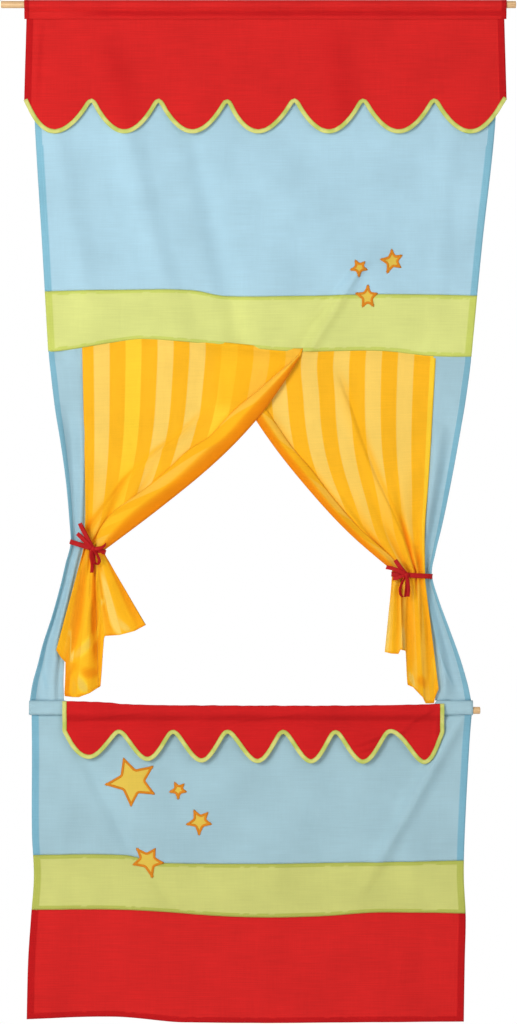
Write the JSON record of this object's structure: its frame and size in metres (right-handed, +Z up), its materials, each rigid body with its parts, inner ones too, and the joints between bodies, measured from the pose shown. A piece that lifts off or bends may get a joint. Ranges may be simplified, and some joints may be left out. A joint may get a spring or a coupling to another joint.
{
  "type": "doorway puppet theatre",
  "caption": "Cloth puppet theatre that hangs in a doorway from a rod, with a scalloped valance, tied-back striped curtains, a stage window and a lower panel.",
  "frame": {"origin": "middle of the top rod, on its axis", "axes": "+X along the rod to the audience's right, +Z up, the audience on the -Y side"},
  "size_m": [0.86, 0.037, 1.7065],
  "materials": {
    "birch": "bare turned dowel, lightly sanded",
    "red_cotton": "plain weave with fine slubs, matt",
    "sky_cotton": "thin plain weave, matt",
    "lime_cotton": "plain weave, matt",
    "lime_tape": "folded bias tape",
    "striped_cotton": "thin cotton with woven yellow and orange stripes",
    "red_ribbon": "narrow woven ribbon, slight sheen",
    "star_cotton": "plain weave, matt",
    "orange_thread": "close satin stitch, slight sheen"
  },
  "bodies": {
    "top_rod": {"top_rod": "birch"},
    "rod_pocket": {"rod_pocket": "red_cotton"},
    "upper_cloth": {"upper_panel": "sky_cotton", "upper_band": "lime_cotton", "left_side_strip": "sky_cotton", "right_side_strip": "sky_cotton", "left_curtain": "striped_cotton", "left_curtain_tail": "striped_cotton", "right_curtain": "striped_cotton", "right_curtain_tail": "striped_cotton", "left_tie_band": "red_ribbon", "right_tie_band": "red_ribbon", "left_tie_bow": "red_ribbon", "right_tie_bow": "red_ribbon", "star_patch_1": "star_cotton", "star_patch_2": "star_cotton", "star_patch_3": "star_cotton", "star_border_1": "orange_thread", "star_border_2": "orange_thread", "star_border_3": "orange_thread"},
    "valance": {"valance": "red_cotton", "valance_binding": "lime_tape"},
    "lower_cloth": {"rod_casing": "sky_cotton", "lower_panel": "sky_cotton", "lower_band": "lime_cotton", "bottom_panel": "red_cotton", "star_patch_4": "star_cotton", "star_patch_5": "star_cotton", "star_patch_6": "star_cotton", "star_patch_7": "star_cotton", "star_border_4": "orange_thread", "star_border_5": "orange_thread", "star_border_6": "orange_thread", "star_border_7": "orange_thread"},
    "middle_rod": {"middle_rod": "birch"},
    "pelmet": {"pelmet": "red_cotton", "pelmet_binding": "lime_tape"}
  },
  "joints": [
    {"name": "pocket_slide", "type": "slide", "parent": "top_rod", "child": "rod_pocket", "axis": [1, 0, 0], "range_m": [-0.039, 0.016]},
    {"name": "cloth_swing", "type": "hinge", "parent": "rod_pocket", "child": "upper_cloth", "pos_m": [0, 0, -0.02505], "axis": [-1, 0, 0], "range_deg": [-60, 30]},
    {"name": "valance_lift", "type": "hinge", "parent": "upper_cloth", "child": "valance", "pos_m": [0, -0.00075, -0.02505], "axis": [-1, 0, 0], "range_deg": [0, 90]},
    {"name": "lower_swing", "type": "hinge", "parent": "upper_cloth", "child": "lower_cloth", "pos_m": [0, 0.00075, -1.1622], "axis": [-1, 0, 0], "range_deg": [-60, 20]},
    {"name": "pelmet_lift", "type": "hinge", "parent": "lower_cloth", "child": "pelmet", "pos_m": [0, -0.00855, -1.1672], "axis": [-1, 0, 0], "range_deg": [0, 60]},
    {"name": "middle_rod_slide", "type": "slide", "parent": "lower_cloth", "child": "middle_rod", "axis": [1, 0, 0], "range_m": [0, 0.6]}
  ]
}
